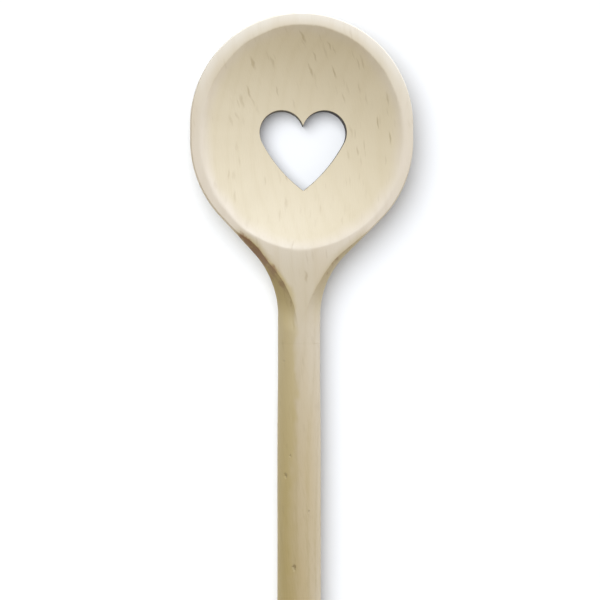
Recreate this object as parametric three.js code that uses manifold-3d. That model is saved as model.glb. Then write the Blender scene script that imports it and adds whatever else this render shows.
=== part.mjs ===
// A round wooden cooking spoon with a heart-shaped hole through its bowl.
//
// Units are millimetres and +Z is up. The spoon lies on its back on a table at z = 0, with its hollow
// facing up. +Y runs along the spoon to the tip of the bowl. The origin is on the table, under the middle
// of the spoon's length.
//
// The head is the bowl with its neck. The handle is a turned rod, and a tenon on its end is glued into a
// blind socket in the neck, so that the handle's shoulder and the neck's end face meet.

import * as THREE from "three";
import { LoftGeometry } from "three/addons/geometries/LoftGeometry.js";
import { mergeVertices } from "three/addons/utils/BufferGeometryUtils.js";
import Module from "manifold-3d";

const { degToRad, lerp, smoothstep } = THREE.MathUtils;

// Driving dimensions of the whole spoon
const TOTAL_LENGTH = 300;

// The bowl's outline from above: two arcs of one radius, with a short straight side between them
const BOWL_WIDTH = 60;
const BOWL_SIDE_RUN = 4.3;

// The bowl's wall: a rounded edge outside the rim, and an underside that curves in to a flat land
const EDGE_ROUND = 0.8;
const EDGE_HEIGHT = 1.8;
const LAND_RADIUS = 11;
const UNDERSIDE_LEANNESS = 0.5; // 0 is a full quarter ellipse, and more is a leaner curve

// The hollow, and the rim left around it
const HOLLOW_DEPTH = 6.6;
const FLOOR_THICKNESS = 4.4;
const RIM_TIP = 3.3;
const RIM_SIDE = 2.8;
const RIM_HEEL = 1;

// The heart-shaped hole
const HEART_WIDTH = 23.5;
const HEART_HEIGHT = 21.7;
const HEART_NOTCH = 4.1; // from the tops of the lobes down to the point between them
const HEART_SIDE_RADIUS = 40;
const HEART_RISE = 1.4; // from the hollow's centre to the line through the lobes' centres

// The neck: straight flanks, a fillet, and a flat tongue that runs out on top of the round shank
const FLANK_ANGLE = degToRad(44);
const NECK_FILLET = 24;
const NECK_DIAMETER = 11.4;
const TONGUE_RUN = 7.5; // from the end of the fillet to the tongue's end, which is also the glued joint
const TONGUE_RIDGE = degToRad(30); // how sharply the neck's sides meet the tongue, half way along it
const TONGUE_SPREAD = 1.1; // more than 1 widens the tongue early, at its narrow end
const SIDE_FLATNESS = 0.55; // 0 is a round side beside the tongue half way along it, and 1 is a flat one

// The handle
const HANDLE_DIAMETER = 11.8;
const HANDLE_SWELL = 25; // the length over which the neck's diameter grows into the handle's
const HANDLE_END_ROUND = 2.8;

// The glued joint
const SOCKET_WALL = 1.95;
const GLUE_GAP = 0.2;
const GLUE_POCKET = 0.6;
const TENON_LENGTH = 18;
const TENON_CHAMFER = 0.8;

// How finely curves are cut into facets
const OUTLINE_STEP = 2;
const EDGE_STEPS = 4;
const UNDERSIDE_STEPS = 9;
const ROUND_SIDES = 48;
const HOLLOW_SIDES = 72;
const HOLLOW_STEPS = 10;
const HEART_STEPS = 10;
const OVERCUT = 1; // how far a cutting tool starts outside the wood

// Sizes that follow from the driving dimensions
const tipY = TOTAL_LENGTH / 2;
const endY = -TOTAL_LENGTH / 2;
const bowlRadius = BOWL_WIDTH / 2;
const neckRadius = NECK_DIAMETER / 2;
const handleRadius = HANDLE_DIAMETER / 2;
const rimZ = FLOOR_THICKNESS + HOLLOW_DEPTH;
const axisZ = Math.max(handleRadius, neckRadius);

const upperY = tipY - bowlRadius;
const lowerY = upperY - BOWL_SIDE_RUN;
const filletX = neckRadius + NECK_FILLET;
const filletY = lowerY
  - (bowlRadius + NECK_FILLET - filletX * Math.cos(FLANK_ANGLE)) / Math.sin(FLANK_ANGLE);
const jointY = filletY - TONGUE_RUN;

const hollowTopY = tipY - RIM_TIP;
const hollowHeelY = lowerY - bowlRadius + RIM_HEEL;
const hollowY = (hollowTopY + hollowHeelY) / 2;
const hollowHalfLength = (hollowTopY - hollowHeelY) / 2;
const hollowHalfWidth = bowlRadius - RIM_SIDE;

const socketRadius = neckRadius - SOCKET_WALL;
const tenonRadius = socketRadius - GLUE_GAP;
const socketDepth = TENON_LENGTH + GLUE_POCKET;

const wasm = await Module();
wasm.setup();

// A closed three.js geometry as a manifold-3d solid. Faces that close up to a line or a point are dropped.
function solidOf(geometry) {
  const bare = new THREE.BufferGeometry().copy(geometry);
  bare.deleteAttribute("normal");
  bare.deleteAttribute("uv");
  const merged = mergeVertices(bare);
  const corners = merged.index.array;
  const triangles = [];
  for (let i = 0; i < corners.length; i += 3) {
    const [a, b, c] = corners.slice(i, i + 3);
    if (a !== b && b !== c && c !== a) triangles.push(a, b, c);
  }
  return new wasm.Manifold(new wasm.Mesh({
    numProp: 3,
    vertProperties: merged.getAttribute("position").array,
    triVerts: new Uint32Array(triangles),
  }));
}

// A manifold-3d solid as a three.js geometry.
function geometryOf(solid) {
  const mesh = solid.getMesh();
  const geometry = new THREE.BufferGeometry();
  geometry.setAttribute("position", new THREE.BufferAttribute(mesh.vertProperties, 3));
  geometry.setIndex(new THREE.BufferAttribute(mesh.triVerts, 1));
  geometry.computeVertexNormals();
  return geometry;
}

// The right half of the head's outline from above, as curves from the joint up to the bowl's tip.
function outlineCurves() {
  const cos = Math.cos(FLANK_ANGLE);
  const sin = Math.sin(FLANK_ANGLE);
  const flankFoot = new THREE.Vector2(filletX - NECK_FILLET * cos, filletY + NECK_FILLET * sin);
  const flankHead = new THREE.Vector2(bowlRadius * cos, lowerY - bowlRadius * sin);
  const arc = (x, y, radius, from, to, clockwise) =>
    new THREE.EllipseCurve(x, y, radius, radius, from, to, clockwise, 0);
  const upright = (x, from, to) =>
    new THREE.LineCurve(new THREE.Vector2(x, from), new THREE.Vector2(x, to));
  return {
    shank: upright(neckRadius, jointY, filletY),
    fillet: arc(filletX, filletY, NECK_FILLET, Math.PI, Math.PI - FLANK_ANGLE, true),
    flank: new THREE.LineCurve(flankFoot, flankHead),
    lowerArc: arc(0, lowerY, bowlRadius, -FLANK_ANGLE, 0, false),
    side: upright(bowlRadius, lowerY, upperY),
    upperArc: arc(0, upperY, bowlRadius, 0, Math.PI / 2, false),
  };
}

// Points along the outline, each with its inward direction and its distance to the spoon's centre line.
function outlineStations(curves) {
  const stations = [];
  for (const curve of Object.values(curves)) {
    const steps = Math.ceil(curve.getLength() / OUTLINE_STEP);
    const first = stations.length === 0 ? 0 : 1;
    for (let i = first; i <= steps; i++) {
      const point = curve.getPointAt(i / steps);
      const along = curve.getTangentAt(i / steps);
      const inward = new THREE.Vector2(-along.y, along.x);
      const reach = Math.abs(inward.x) > 1e-6 ? point.x / -inward.x : bowlRadius;
      stations.push({ point, inward, reach });
    }
  }
  const tip = stations.at(-1);
  tip.point.x = 0;
  tip.inward.set(0, -1);
  tip.reach = bowlRadius;
  return stations;
}

// One half of a rib across the head, as two runs from the outline in to the centre line: over the edge and
// the top, and along the underside. Each entry is a distance in from the outline and a height.
function ribProfile(station, heelY) {
  const along = THREE.MathUtils.clamp((station.point.y - jointY) / (heelY - jointY), 0, 1);
  const eased = smoothstep(along, 0, 1);
  const spread = THREE.MathUtils.clamp((station.reach - neckRadius) / (bowlRadius - neckRadius), 0, 1);

  const topZ = lerp(axisZ + neckRadius, rimZ, eased);
  const widestZ = lerp(axisZ, rimZ - EDGE_HEIGHT, eased);
  const halfWay = Math.sin(Math.PI * along) ** 2;
  const edgeInset = lerp(EDGE_ROUND, neckRadius, (1 - eased) ** TONGUE_SPREAD);
  const edgeTurn = Math.PI / 2 - TONGUE_RIDGE * halfWay;
  const edgeRun = edgeInset / (1 - Math.cos(edgeTurn));
  const edgeRise = (topZ - widestZ) / Math.sin(edgeTurn);
  const over = [];
  for (let i = 1; i <= EDGE_STEPS; i++) {
    const turn = edgeTurn * i / EDGE_STEPS;
    const inset = edgeRun * (1 - Math.cos(turn));
    const roundRise = edgeRise * Math.sin(turn);
    const flatRise = (topZ - widestZ) * inset / edgeInset;
    over.push({ inset, z: widestZ + lerp(roundRise, flatRise, SIDE_FLATNESS * halfWay) });
  }
  over.push({ inset: station.reach, z: topZ });

  const bottomZ = lerp(axisZ - neckRadius, 0, spread);
  const underRun = station.reach - LAND_RADIUS * spread;
  const underPower = 1 + UNDERSIDE_LEANNESS * spread;
  const under = [];
  for (let i = 0; i <= UNDERSIDE_STEPS; i++) {
    const turn = Math.PI / 2 * i / UNDERSIDE_STEPS;
    const drop = (widestZ - bottomZ) * Math.sin(turn) ** underPower;
    under.push({ inset: underRun * (1 - Math.cos(turn)), z: widestZ - drop });
  }
  under.push({ inset: station.reach, z: bottomZ });
  return { over, under };
}

// A closed loop of points round the head at one station: down the right side, up the left side, and back
// over the top.
function ribLoop(station, heelY) {
  const { over, under } = ribProfile(station, heelY);
  const place = ({ inset, z }) => {
    const plan = station.point.clone().addScaledVector(station.inward, inset);
    return new THREE.Vector3(inset === station.reach ? 0 : plan.x, plan.y, z);
  };
  const mirror = ({ x, y, z }) => new THREE.Vector3(-x, y, z);
  const rightUnder = under.map(place);
  const rightOver = over.map(place);
  const leftUnder = rightUnder.slice(0, -1).reverse().map(mirror);
  const leftOver = rightOver.slice(0, -1).map(mirror);
  return [...rightUnder, ...leftUnder, ...leftOver, ...rightOver.reverse()];
}

// The whole head before the hollow, the heart and the socket are cut, skinned over ribs from the joint to
// the tip.
function headBlank() {
  const curves = outlineCurves();
  const heelY = curves.flank.getPointAt(0.5).y;
  const ribs = outlineStations(curves).map((station) => ribLoop(station, heelY));
  return solidOf(new LoftGeometry(ribs, { capStart: true }));
}

// The tool that cuts the hollow: a cap of a sphere, narrowed to the hollow's width.
function hollowCutter() {
  const ball = (hollowHalfLength ** 2 + HOLLOW_DEPTH ** 2) / (2 * HOLLOW_DEPTH);
  const topRise = HOLLOW_DEPTH + OVERCUT;
  const lastTurn = Math.acos(1 - topRise / ball);
  const profile = [];
  for (let i = 0; i <= HOLLOW_STEPS; i++) {
    const turn = lastTurn * i / HOLLOW_STEPS;
    profile.push(new THREE.Vector2(ball * Math.sin(turn), ball * (1 - Math.cos(turn))));
  }
  profile.push(new THREE.Vector2(0, topRise));
  const cutter = new THREE.LatheGeometry(profile, HOLLOW_SIDES);
  cutter.rotateX(Math.PI / 2);
  cutter.scale(hollowHalfWidth / hollowHalfLength, 1, 1);
  cutter.translate(0, hollowY, FLOOR_THICKNESS);
  return solidOf(cutter);
}

// The heart from above: round lobes, and long side arcs that leave them smoothly and meet at the point.
// Its own origin is between the centres of the lobes.
function heartShape() {
  const lobe = HEART_WIDTH / 2 + HEART_NOTCH - Math.sqrt(HEART_WIDTH * HEART_NOTCH);
  const lobeX = HEART_WIDTH / 2 - lobe;
  const lobeCentre = new THREE.Vector2(lobeX, 0);
  const point = new THREE.Vector2(0, lobe - HEART_HEIGHT);

  // A side arc passes through the point and touches the lobe from outside, which sets how far its centre
  // is from both.
  const toPoint = point.clone().sub(lobeCentre);
  const apart = toPoint.length();
  const fromLobe = HEART_SIDE_RADIUS - lobe;
  const forward = (fromLobe ** 2 - HEART_SIDE_RADIUS ** 2 + apart ** 2) / (2 * apart);
  const sideways = Math.sqrt(fromLobe ** 2 - forward ** 2);
  const unit = toPoint.normalize();
  const side = lobeCentre.clone()
    .addScaledVector(unit, forward)
    .addScaledVector(new THREE.Vector2(unit.y, -unit.x), sideways);

  const notchAngle = Math.atan2(lobe - HEART_NOTCH, -lobeX);
  const leaveAngle = lobeCentre.clone().sub(side).angle() - 2 * Math.PI;
  const pointAngle = point.clone().sub(side).angle() - 2 * Math.PI;
  const mirrored = (angle) => Math.PI - angle;

  const shape = new THREE.Shape();
  shape.absarc(lobeX, 0, lobe, notchAngle, leaveAngle, true);
  shape.absarc(side.x, side.y, HEART_SIDE_RADIUS, leaveAngle, pointAngle, true);
  shape.absarc(-side.x, side.y, HEART_SIDE_RADIUS, mirrored(pointAngle), mirrored(leaveAngle), true);
  shape.absarc(-lobeX, 0, lobe, mirrored(leaveAngle), mirrored(notchAngle), true);
  return shape;
}

// The tool that cuts the heart, straight down through the bowl's floor.
function heartCutter() {
  const cutter = new THREE.ExtrudeGeometry(heartShape(), {
    depth: rimZ + 2 * OVERCUT,
    bevelEnabled: false,
    curveSegments: HEART_STEPS,
  });
  cutter.translate(0, hollowY + HEART_RISE, -OVERCUT);
  return solidOf(cutter);
}

// The drill that makes the socket for the tenon, from the neck's end face.
function socketDrill() {
  const length = socketDepth + OVERCUT;
  const drill = new THREE.CylinderGeometry(socketRadius, socketRadius, length, ROUND_SIDES);
  drill.translate(0, jointY - OVERCUT + length / 2, axisZ);
  return solidOf(drill);
}

// The bowl and neck, hollowed, pierced and drilled.
function headGeometry() {
  return geometryOf(
    headBlank().subtract(hollowCutter()).subtract(heartCutter()).subtract(socketDrill()),
  );
}

// The handle, turned about its own axis from the rounded end up to the tenon.
function handleGeometry() {
  const endFaceRadius = handleRadius - HANDLE_END_ROUND;
  const swellFoot = jointY - HANDLE_SWELL;
  const swellMiddle = jointY - HANDLE_SWELL / 2;
  const tenonTop = jointY + TENON_LENGTH;
  const profile = new THREE.Path();
  profile.moveTo(0, endY);
  profile.lineTo(endFaceRadius, endY);
  profile.absarc(endFaceRadius, endY + HANDLE_END_ROUND, HANDLE_END_ROUND, -Math.PI / 2, 0, false);
  profile.lineTo(handleRadius, swellFoot);
  profile.bezierCurveTo(handleRadius, swellMiddle, neckRadius, swellMiddle, neckRadius, jointY);
  profile.lineTo(tenonRadius, jointY);
  profile.lineTo(tenonRadius, tenonTop - TENON_CHAMFER);
  profile.lineTo(tenonRadius - TENON_CHAMFER, tenonTop);
  profile.lineTo(0, tenonTop);
  return new THREE.LatheGeometry(profile.getPoints(4), ROUND_SIDES);
}

const paleBeech = new THREE.MeshStandardMaterial({ color: 0xdfd2ba, roughness: 0.62, metalness: 0 });
const yellowBeech = new THREE.MeshStandardMaterial({ color: 0xcbb98f, roughness: 0.58, metalness: 0 });

const head = new THREE.Mesh(headGeometry(), paleBeech);
head.name = "bowl_head";

const handle = new THREE.Mesh(handleGeometry(), yellowBeech);
handle.name = "handle";
handle.position.z = axisZ;

const spoon = new THREE.Group();
spoon.name = "cooking_spoon";
spoon.add(head, handle);

export default spoon;
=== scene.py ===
"""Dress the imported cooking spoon: fine beech pieces, a plain studio and a camera high above the bowl."""

import logging
import math
from collections.abc import Callable, Sequence
from dataclasses import dataclass
from enum import Enum
from typing import Any, NamedTuple, Union

import bmesh
import bpy
from mathutils import Euler, Matrix, Vector, noise

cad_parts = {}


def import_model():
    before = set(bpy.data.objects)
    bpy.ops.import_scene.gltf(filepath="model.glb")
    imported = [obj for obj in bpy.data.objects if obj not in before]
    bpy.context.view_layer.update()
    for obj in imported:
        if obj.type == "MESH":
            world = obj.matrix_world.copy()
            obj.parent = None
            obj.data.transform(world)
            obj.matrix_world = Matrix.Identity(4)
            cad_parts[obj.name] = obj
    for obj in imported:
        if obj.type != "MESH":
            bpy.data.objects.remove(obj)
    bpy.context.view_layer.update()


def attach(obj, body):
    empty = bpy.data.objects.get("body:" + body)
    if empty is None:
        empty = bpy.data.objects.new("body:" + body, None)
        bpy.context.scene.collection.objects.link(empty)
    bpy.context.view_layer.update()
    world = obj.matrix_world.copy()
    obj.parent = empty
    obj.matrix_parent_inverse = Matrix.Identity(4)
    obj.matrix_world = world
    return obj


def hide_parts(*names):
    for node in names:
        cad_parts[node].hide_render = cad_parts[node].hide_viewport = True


MM = 0.001
TINY = 1e-6
CREASE = math.radians(38.0)
LOG = logging.getLogger("spoon")
Colour = tuple[float, float, float]
Size = tuple[float, float, float]


def mix(first: float, last: float, share: float) -> float:
    """Return the value that lies the given share of the way from first to last."""
    return first + (last - first) * share


def keep(share: float) -> float:
    """Return a share kept between 0 and 1."""
    return min(max(share, 0.0), 1.0)


def ease(share: float) -> float:
    """Return a share from 0 to 1 that starts and ends gently."""
    kept = keep(share)
    return kept * kept * (3.0 - 2.0 * kept)


class Run(NamedTuple):
    """A gentle change: the value where it starts, the one where it is complete, and what it comes to."""

    start: float
    end: float
    most: float = 1.0

    def at(self, value: float) -> float:
        """Return how far the change has come at a value."""
        return self.most * ease((value - self.start) / (self.end - self.start))


def soft_lower(first: float, second: float, blend: float) -> float:
    """Return the lower of two heights, rounded over where they cross.

    Args:
        first: One height.
        second: The other height.
        blend: How far apart the heights still round each other over.

    Returns:
        The lower height, a little less near the crossing.
    """
    share = keep(0.5 + 0.5 * (second - first) / blend)
    return mix(second, first, share) - blend * share * (1.0 - share)


def put(name: str, data: bpy.types.ID) -> bpy.types.Object:
    """Put a new object into the scene.

    Args:
        name: The object's name.
        data: The mesh, light or camera that it shows.

    Returns:
        The object.
    """
    made = bpy.data.objects.new(name, data)
    bpy.context.scene.collection.objects.link(made)
    return made


@dataclass(frozen=True)
class Drift:
    """How far the handle and the heart lie aside on a spoon finished by hand. Millimetres."""

    neck: Run = Run(97.0, 77.0, -0.6)
    heart: Run = Run(26.0, 13.0, 0.55)
    heart_y: float = 113.5

    def at(self, x: float, y: float) -> float:
        """Return how far a point has drifted to the right."""
        return self.neck.at(y) + self.heart.at(math.hypot(x, y - self.heart_y))


class Side(Enum):
    """The sides of the spoon, by the sign of x there."""

    RIGHT = 1.0
    LEFT = -1.0


class Mark(Enum):
    """The marks that a mesh carries on its points."""

    SCORCH = "scorch"
    # rubbed brown, and painted shade on the neck's flanks and top
    RUBBED_AND_SHADE = "rubbed_and_shade"


class Spot(NamedTuple):
    """A point of a skin in millimetres, with how far the wood there is scorched, and how far it is rubbed
    brown and painted with shade.
    """

    x: float
    y: float
    z: float
    scorch: float = 0.0
    rubbed_and_shade: float = 0.0


@dataclass(frozen=True)
class Straight:
    """A straight stretch of an outline, seen from above."""

    first: Vector
    last: Vector

    @property
    def length(self) -> float:
        """Return the stretch's length."""
        return (self.last - self.first).length

    def at(self, share: float) -> tuple[Vector, Vector]:
        """Return the point a share of the way along, and the direction of travel there."""
        return self.first.lerp(self.last, share), (self.last - self.first).normalized()


@dataclass(frozen=True)
class Arc:
    """A round stretch of an outline, seen from above."""

    centre: Vector
    radius: float
    start: float
    end: float

    @property
    def length(self) -> float:
        """Return the stretch's length."""
        return abs(self.end - self.start) * self.radius

    def at(self, share: float) -> tuple[Vector, Vector]:
        """Find a point of the stretch.

        Args:
            share: How far along it lies, from 0 to 1.

        Returns:
            The point, and the direction of travel there.
        """
        angle = mix(self.start, self.end, share)
        out = Vector((math.cos(angle), math.sin(angle)))
        turn = math.copysign(1.0, self.end - self.start)
        return self.centre + out * self.radius, Vector((-out.y, out.x)) * turn


Stretch = Union[Straight, Arc]


class Skin:
    """A closed mesh in the making, whose points are shared wherever they meet."""

    MEETING = 1e-4

    def __init__(self, drift: Drift) -> None:
        """Start with no points and no faces.

        Args:
            drift: How far the points are moved aside in the end.
        """
        self.drift = drift
        self.spots: list[Spot] = []
        self.faces: list[tuple[int, ...]] = []
        self._known: dict[tuple[int, int, int], int] = {}

    def add(self, spot: Spot) -> int:
        """Add a point, or find the one that is already there.

        Args:
            spot: The point, in millimetres.

        Returns:
            The point's number.
        """
        key = tuple(round(value / self.MEETING) for value in spot[:3])
        if key not in self._known:
            self._known[key] = len(self.spots)
            self.spots.append(spot)
        return self._known[key]

    def sheet(self, rows: Sequence[Sequence[Spot]]) -> None:
        """Add the faces between neighbouring rows of points, leaving out those that close up.

        Args:
            rows: Rows with the same number of points each.
        """
        numbers = [[self.add(spot) for spot in row] for row in rows]
        for near, far in zip(numbers, numbers[1:]):
            for left in range(len(near) - 1):
                ring = (near[left], near[left + 1], far[left + 1], far[left])
                corners = tuple(dict.fromkeys(ring))
                if len(corners) > 2:
                    self.faces.append(corners)

    def make(self, name: str) -> bpy.types.Object:
        """Turn the points and faces into an object in the scene.

        Args:
            name: The object's name.

        Returns:
            The new object, in metres, with point attributes called scorch and rubbed_and_shade.
        """
        mesh = bpy.data.meshes.new(name)
        moved = []
        for spot in self.spots:
            x = spot.x + self.drift.at(spot.x, spot.y)
            moved.append(Vector((x, spot.y, spot.z)) * MM)
        mesh.from_pydata(moved, [], self.faces)
        for mark in Mark:
            attribute = mesh.attributes.new(mark.value, "FLOAT", "POINT")
            attribute.data.foreach_set("value", [getattr(spot, mark.value) for spot in self.spots])
        shell = bmesh.new()
        shell.from_mesh(mesh)
        bmesh.ops.recalc_face_normals(shell, faces=shell.faces[:])
        shell.to_mesh(mesh)
        shell.free()
        mesh.polygons.foreach_set("use_smooth", [True] * len(mesh.polygons))
        mesh.set_sharp_from_angle(angle=CREASE)
        return put(name, mesh)


def operator(operation: str, swapped: bool = False) -> Callable[["Signal", "Number"], "Signal"]:
    """Make a method of a signal that adds a Math node.

    Args:
        operation: The node's operation.
        swapped: Whether the other value comes first, as in 1 - signal.

    Returns:
        The method.
    """

    def method(signal: "Signal", other: "Number") -> "Signal":
        """Return the signal of a Math node on a signal and another value."""
        values = (other, signal) if swapped else (signal, other)
        return signal.sheet.math(operation, *values)

    return method


class Signal:
    """A node's output that adds Math nodes when it is used in a Python expression."""

    __add__, __radd__ = operator("ADD"), operator("ADD", True)
    __sub__, __rsub__ = operator("SUBTRACT"), operator("SUBTRACT", True)
    __mul__, __rmul__ = operator("MULTIPLY"), operator("MULTIPLY", True)
    __truediv__, __rtruediv__ = operator("DIVIDE"), operator("DIVIDE", True)

    def __init__(self, sheet: "NodeSheet", socket: bpy.types.NodeSocket | None) -> None:
        """Wrap an output socket of a node on a sheet."""
        self.sheet = sheet
        self.socket = socket

    def __abs__(self) -> "Signal":
        """Return this without its sign."""
        return self.sheet.math("ABSOLUTE", self)


Number = Union[Signal, float]
SocketValue = Union[Signal, float, Sequence[float]]


class Way(Enum):
    """The parts of a place or a direction, on the spoon or in the grain."""

    ACROSS = 0
    ALONG = 1
    OUTWARD = 2


class Clouds(NamedTuple):
    """Smooth noise: its patches' size in millimetres, its finer layers and their strength, and its swing."""

    size: Size
    detail: float
    rough: float = 0.5
    swing: float = 1.0


class NodeSheet:
    """The node tree of one material or of the world."""

    # The Mix node's colour sockets go by number, because they share their names with others
    MIX_FIRST, MIX_SECOND, MIX_RESULT = 6, 7, 2

    def __init__(self, owner: Union[bpy.types.Material, bpy.types.World]) -> None:
        """Clear a node tree to write on it.

        Args:
            owner: The material or the world that has the tree.
        """
        owner.use_nodes = True
        self.tree = owner.node_tree
        self.tree.nodes.clear()

    def node(
        self,
        kind: str,
        settings: dict[str, Any] | None = None,
        inputs: dict[Union[str, int], SocketValue] | None = None,
        output: Union[str, int] = 0,
    ) -> Signal:
        """Add a node.

        Args:
            kind: The node's type, without the ShaderNode that each one starts with.
            settings: The node's own settings, set first.
            inputs: A value or a link for each socket, by name or by number.
            output: The output that the signal stands for, by name or by number.

        Returns:
            The signal of the chosen output.
        """
        made = self.tree.nodes.new("ShaderNode" + kind)
        for name, value in (settings or {}).items():
            setattr(made, name, value)
        for key, value in (inputs or {}).items():
            socket = made.inputs[key]
            if isinstance(value, Signal):
                self.tree.links.new(value.socket, socket)
            else:
                socket.default_value = value
        return Signal(self, made.outputs[output] if made.outputs else None)

    def math(self, operation: str, *values: Number) -> Signal:
        """Return the signal of a Math node on one, two or three values."""
        return self.node("Math", {"operation": operation}, dict(enumerate(values)))

    def vector(self, operation: str, *values: SocketValue, output: str = "Vector") -> Signal:
        """Return the signal of a Vector Math node on one or two vectors."""
        return self.node("VectorMath", {"operation": operation}, dict(enumerate(values)), output)

    def seen(self) -> Signal:
        """Tell what is seen from what is only lit.

        Returns:
            1 for what the camera sees, plainly, mirrored or through glass, and 0 for other light.
        """
        plain, mirrored, through = (
            self.node("LightPath", None, None, name)
            for name in ("Is Camera Ray", "Is Glossy Ray", "Is Transmission Ray")
        )
        return self.math("MAXIMUM", self.math("MAXIMUM", plain, mirrored), through)

    def part(self, vector: Signal, way: Way) -> Signal:
        """Return one part of a place or a direction."""
        return self.node("SeparateXYZ", None, {0: vector}, way.value)

    def mark(self, mark: Mark) -> Signal:
        """Return a mark that the mesh carries on its points."""
        return self.node("Attribute", {"attribute_name": mark.value}, None, "Fac")

    def step(self, value: Signal, run: Run) -> Signal:
        """Return 0 where a value is at a run's start, the run's most at its end, and gently between them."""
        inputs = {"Value": value, "From Min": run.start, "From Max": run.end, "To Max": run.most}
        return self.node("MapRange", {"interpolation_type": "SMOOTHSTEP"}, inputs)

    def blend(self, share: Number, first: SocketValue, second: SocketValue) -> Signal:
        """Mix two colours.

        Args:
            share: How much of the second shows.
            first: A colour.
            second: Another colour.

        Returns:
            The mixed colour.
        """
        colours = [value if isinstance(value, Signal) else (*value, 1.0) for value in (first, second)]
        inputs = {0: share, self.MIX_FIRST: colours[0], self.MIX_SECOND: colours[1]}
        return self.node("Mix", {"data_type": "RGBA", "clamp_factor": True}, inputs, self.MIX_RESULT)

    def paint(self, colour: SocketValue, *coats: tuple[Number, Colour]) -> Signal:
        """Lay coats of colour over each other.

        Args:
            colour: The lowest colour.
            coats: The share and the colour of each coat, in turn.

        Returns:
            The colour that shows.
        """
        for share, coat in coats:
            colour = self.blend(share, colour, coat)
        return colour

    def clouds(self, place: Signal, kind: Clouds) -> Signal:
        """Add smooth noise.

        Args:
            place: The place that it is read at, in millimetres.
            kind: What it is like.

        Returns:
            A value from 0 to 1, mostly near the middle.
        """
        sized = self.vector("DIVIDE", place, kind.size)
        inputs = {"Vector": sized, "Scale": 1.0, "Detail": kind.detail, "Roughness": kind.rough}
        return self.node("TexNoise", None, inputs)

    def sway(self, place: Signal, kind: Clouds) -> Signal:
        """Return smooth noise round 0, as wide as its swing."""
        return (self.clouds(place, kind) - 0.5) * kind.swing

    def cells(self, place: Signal, size: Sequence[float]) -> Signal:
        """Return the distance to the middle of the nearest of many scattered cells of a size."""
        inputs = {"Vector": self.vector("DIVIDE", place, size), "Scale": 1.0}
        return self.node("TexVoronoi", None, inputs, "Distance")


class Site:
    """A point of the wood as signals in millimetres: its place on the spoon and in the grain."""

    def __init__(self, sheet: NodeSheet, axes: Matrix) -> None:
        """Find the place on the spoon, and turn it to the grain's own axes.

        Args:
            sheet: The material's node tree.
            axes: The grain's axes as rows.
        """
        self.sheet = sheet
        here = sheet.node("TexCoord", None, None, "Object")
        self.place = sheet.node("VectorMath", {"operation": "SCALE"}, {0: here, "Scale": 1.0 / MM})
        turned = {"Vector": self.place, "Rotation": axes.to_euler()}
        self.grain = sheet.node("Mapping", {"vector_type": "POINT"}, turned)
        self.across, self.along, self.height = (sheet.part(self.place, way) for way in Way)


@dataclass(frozen=True)
class Rays:
    """The wood's rays: short dark dashes along the grain, most of them in the bowl. Millimetres."""

    cell: Size = (1.35, 8.5, 16.0)
    edge: Run = Run(0.29, 0.06)
    chance: Run = Run(0.1, 1.0)
    bends: Clouds = Clouds((2.0, 2.6, 2.0), 1.0, swing=0.9)
    shift: float = 3.0
    finer: float = 0.77
    finer_share: float = 0.7
    least: float = 0.45
    bowl: Run = Run(95.0, 122.0, 0.55)
    neck_top: Run = Run(92.0, 86.0)
    neck_foot: Run = Run(62.0, 72.0, 0.5)
    rim_height: Run = Run(10.5, 10.9)
    rim_along: Run = Run(89.0, 95.0, 0.65)

    def show(self, site: Site) -> Signal:
        """Mark the rays.

        Args:
            site: A point of the wood.

        Returns:
            A value from 0 to 1.
        """
        sheet, along = site.sheet, site.along
        aside = sheet.sway(site.place, self.bends)
        shift = sheet.node("CombineXYZ", None, {"X": aside, "Z": self.shift})
        wavy = sheet.vector("ADD", site.grain, shift)
        finer = self._dashes(sheet, wavy, self.finer) * self.finer_share
        rays = sheet.math("MAXIMUM", self._dashes(sheet, wavy, 1.0), finer)
        on_bowl = sheet.step(along, self.bowl)
        on_neck = sheet.step(along, self.neck_top) * sheet.step(along, self.neck_foot)
        on_rim = sheet.step(site.height, self.rim_height) * sheet.step(along, self.rim_along)
        return rays * (on_bowl + on_neck + self.least) * (1.0 - on_rim)

    def _dashes(self, sheet: NodeSheet, grain: Signal, size: float) -> Signal:
        """Scatter dashes along the grain, some of them darker.

        Args:
            sheet: The material's node tree.
            grain: The place in the grain.
            size: The dashes' share of their usual size.

        Returns:
            A value from 0 to 1.
        """
        far = sheet.cells(grain, [side * size for side in self.cell])
        kind = Signal(sheet, far.socket.node.outputs["Color"])
        chance = sheet.node("SeparateColor", None, {0: kind}, 0)
        return sheet.step(far, self.edge) * sheet.step(chance, self.chance)


class Nick(NamedTuple):
    """A nick in the handle: its place in millimetres, and its share of the full size."""

    x: float
    y: float
    share: float


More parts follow.
